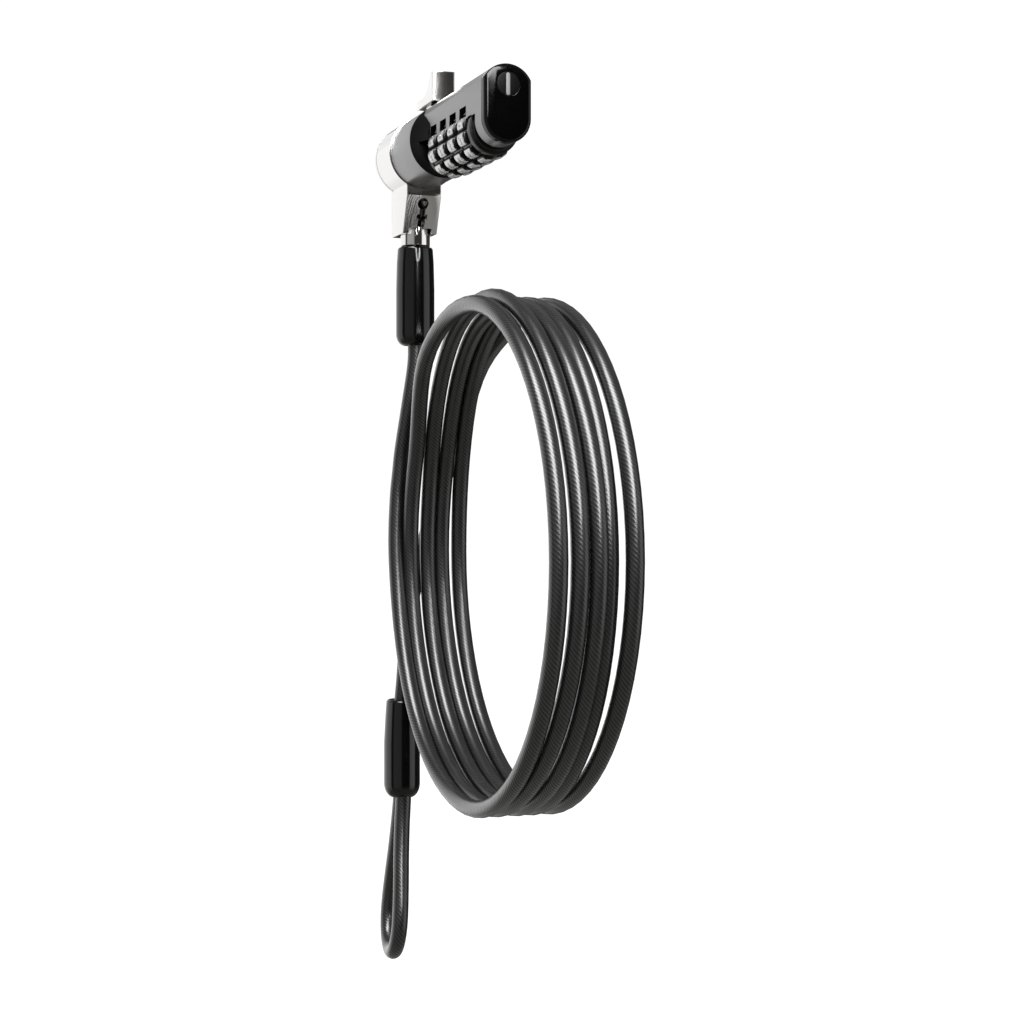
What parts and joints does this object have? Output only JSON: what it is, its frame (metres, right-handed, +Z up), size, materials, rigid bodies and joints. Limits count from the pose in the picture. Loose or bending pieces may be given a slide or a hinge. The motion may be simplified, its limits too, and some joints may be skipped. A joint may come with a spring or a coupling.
{
  "type": "laptop cable lock",
  "caption": "Combination laptop lock: flat-sided head with code dials, chrome thumb slide and swivel yoke, T-bar for a security slot, and a coiled steel cable with an end loop.",
  "frame": {"origin": "centre of the head's rear face, on the axis of the barrel and the T-bar, in the plane that lies against the laptop", "axes": "+Y points out of the rear face into the laptop, the head runs to -Y, +Z is up, away from the cable as it hangs"},
  "size_m": [0.0231, 0.1321, 0.2222],
  "materials": {
    "housing_grey": "glossy gunmetal grey, cast zinc with a metallic coat",
    "cap_black": "gloss black",
    "dial_black": "black dials with light grey raised number blocks",
    "chrome": "bright chrome on a die casting",
    "lock_steel": "hardened steel, satin",
    "inner_steel": "plain steel",
    "inner_brass": "turned brass",
    "pad_rubber": "matt black rubber",
    "boot_black": "glossy black PVC",
    "cable_jacket": "clear smoky jacket over twisted steel strands, glossy"
  },
  "bodies": {
    "lock_head": {"housing": "housing_grey", "end_cap": "cap_black", "front_bearing": "dial_black", "rear_bearing": "dial_black", "dial_spindle": "inner_brass", "detent_leaf": "inner_steel", "tee_bar": "lock_steel", "rear_plate": "chrome", "rear_pad": "pad_rubber", "plate_screw_1": "inner_steel", "plate_screw_2": "inner_steel", "plate_screw_3": "inner_steel", "slide_spring": "inner_steel"},
    "release": {"thumb_slide": "chrome", "pin_carriage": "inner_brass", "blocking_pin_left": "lock_steel", "blocking_pin_right": "lock_steel", "gate_bar": "inner_steel"},
    "reset_key": {"reset_screw": "cap_black"},
    "yoke_body": {"yoke": "chrome"},
    "cable_body": {"ball_stud": "chrome", "ferrule": "chrome", "upper_boot": "boot_black", "cable_upper_tail": "cable_jacket", "cable_coil": "cable_jacket", "cable_lower_tail": "cable_jacket", "lower_boot": "boot_black", "end_crimp": "inner_steel", "cable_loop": "cable_jacket"},
    "dial_set_1": {"dial_1": "dial_black", "code_sleeve_1": "inner_brass"},
    "dial_set_2": {"dial_2": "dial_black", "code_sleeve_2": "inner_brass"},
    "dial_set_3": {"dial_3": "dial_black", "code_sleeve_3": "inner_brass"},
    "dial_set_4": {"dial_4": "dial_black", "code_sleeve_4": "inner_brass"}
  },
  "joints": [
    {"name": "yoke_swivel", "type": "hinge", "parent": "lock_head", "child": "yoke_body", "pos_m": [0, -0.0087, 0], "axis": [0, 1, 0], "continuous": true},
    {"name": "cable_swivel", "type": "hinge", "parent": "yoke_body", "child": "cable_body", "pos_m": [0, -0.0072, -0.0126], "axis": [0, 0, 1], "continuous": true},
    {"name": "release_slide", "type": "slide", "parent": "lock_head", "child": "release", "axis": [0, -1, 0], "range_m": [0, 0.004], "stiffness_N_per_m": 300, "springref_m": -0.003, "deforming": ["slide_spring"]},
    {"name": "reset_turn", "type": "hinge", "parent": "lock_head", "child": "reset_key", "pos_m": [0, -0.079, 0.00475], "axis": [0, 1, 0], "range_deg": [0, 90]},
    {"name": "dial_1_turn", "type": "hinge", "parent": "lock_head", "child": "dial_set_1", "pos_m": [0, -0.0634, -0.0035], "axis": [0, 1, 0], "continuous": true},
    {"name": "dial_2_turn", "type": "hinge", "parent": "lock_head", "child": "dial_set_2", "pos_m": [0, -0.0559, -0.0035], "axis": [0, 1, 0], "continuous": true},
    {"name": "dial_3_turn", "type": "hinge", "parent": "lock_head", "child": "dial_set_3", "pos_m": [0, -0.0484, -0.0035], "axis": [0, 1, 0], "continuous": true},
    {"name": "dial_4_turn", "type": "hinge", "parent": "lock_head", "child": "dial_set_4", "pos_m": [0, -0.0409, -0.0035], "axis": [0, 1, 0], "continuous": true}
  ]
}
